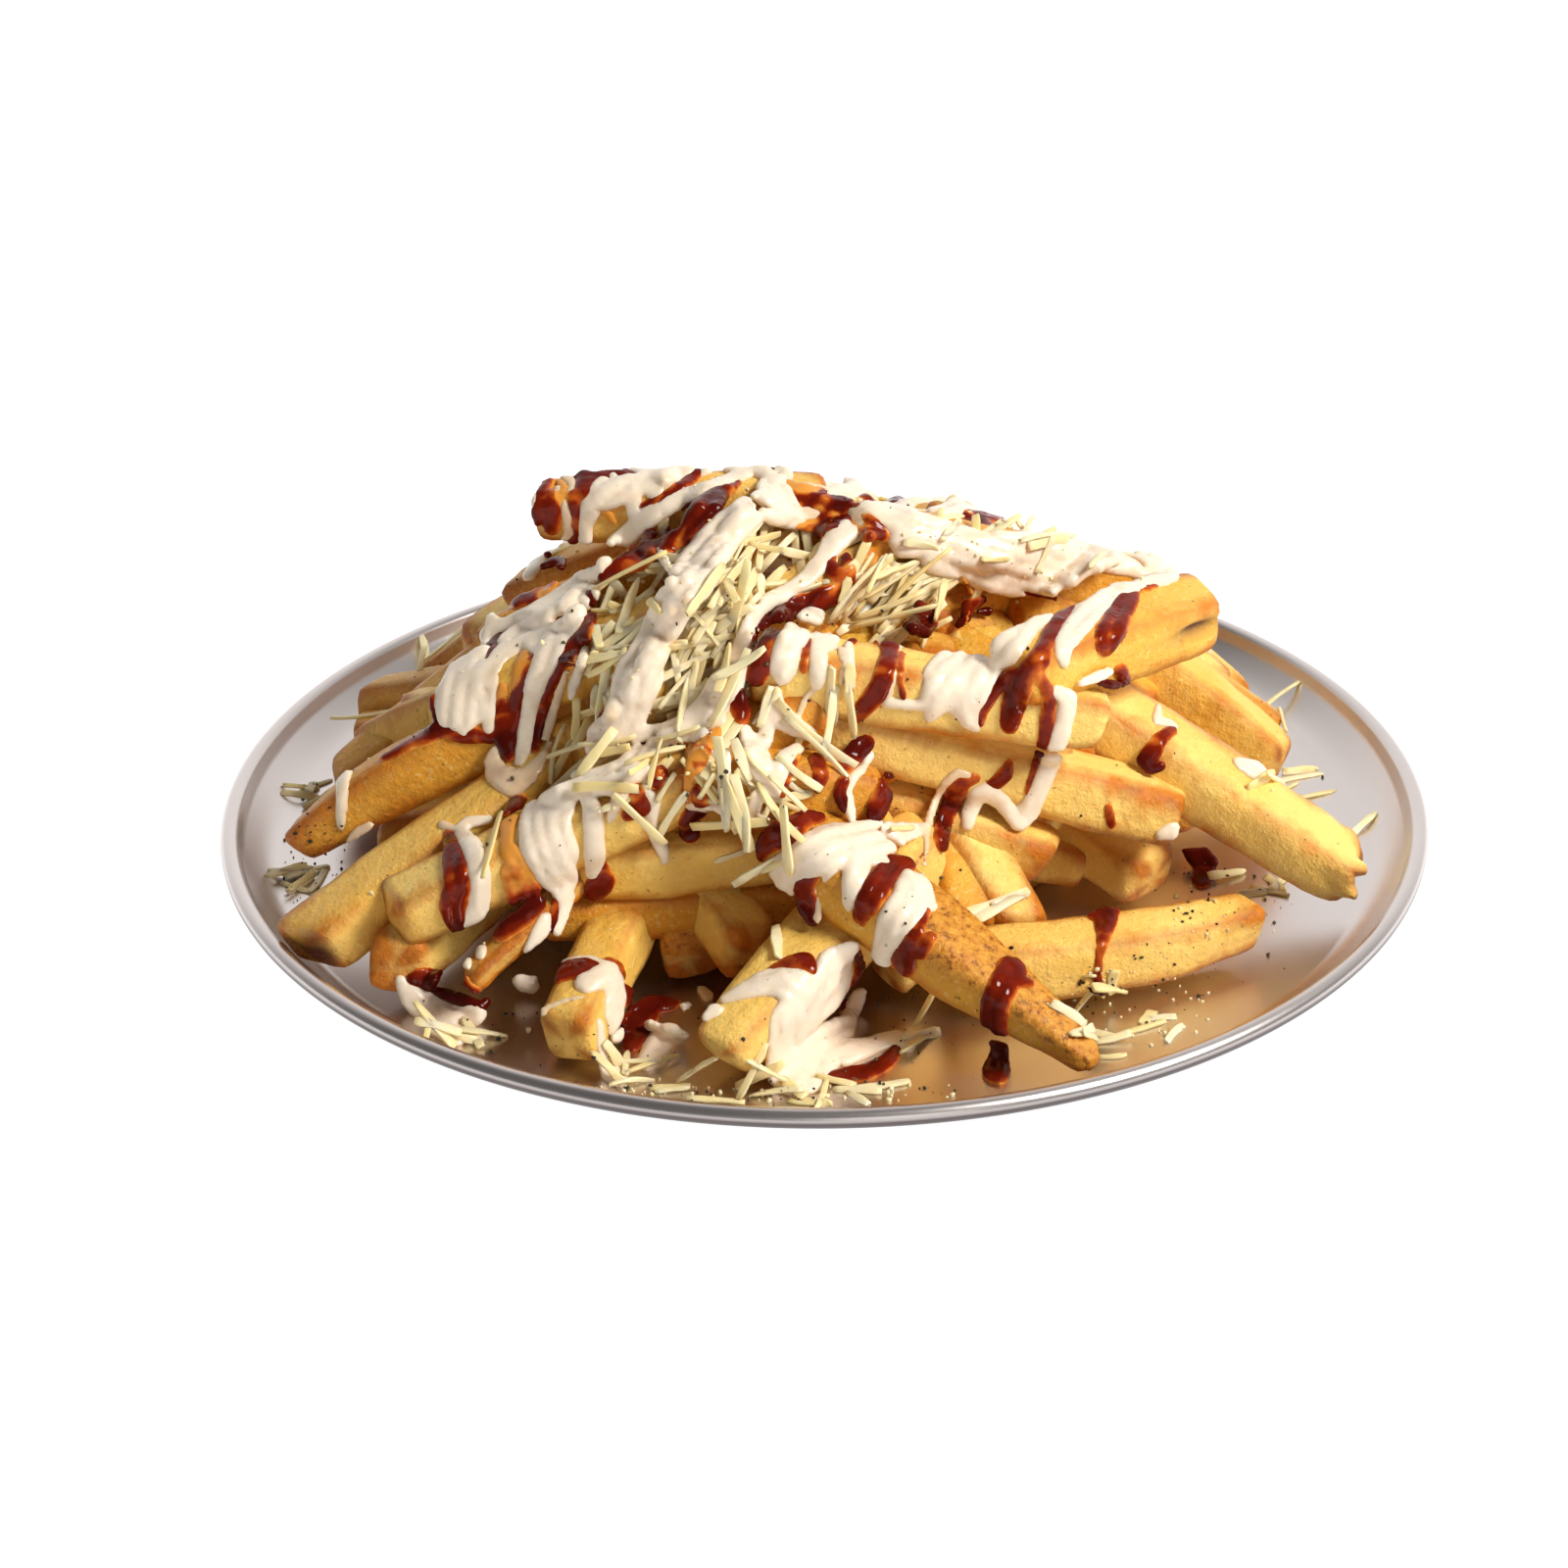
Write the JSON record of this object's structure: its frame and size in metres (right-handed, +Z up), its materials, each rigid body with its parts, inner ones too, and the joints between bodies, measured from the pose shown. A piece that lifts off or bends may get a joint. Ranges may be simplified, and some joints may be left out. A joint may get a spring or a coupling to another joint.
{
  "type": "dish of garlic bbq fries",
  "caption": "Round shallow steel dish heaped with thick-cut fries under strands of garlic and barbecue sauce and grated cheese.",
  "frame": {"origin": "centre of the dish's flat underside", "axes": "+Z up through the heap, -Y towards the diner, +X to the diner's right"},
  "size_m": [0.23, 0.23, 0.0745],
  "materials": {
    "steel": "brushed stainless steel sheet with a polished rolled rim",
    "fried_potato": "golden fried potato with browned edges, partly covered by sauces and cheese",
    "garlic_sauce": "thick cream-coloured garlic sauce, satin and slightly translucent",
    "barbecue_sauce": "glossy dark red-brown barbecue sauce, lighter where it is thin",
    "grated_cheese": "pale yellow grated cheese, waxy",
    "pepper": "coarse black pepper"
  },
  "bodies": {
    "root": {"dish": "steel", "fries_heap": "fried_potato"}
  },
  "joints": []
}
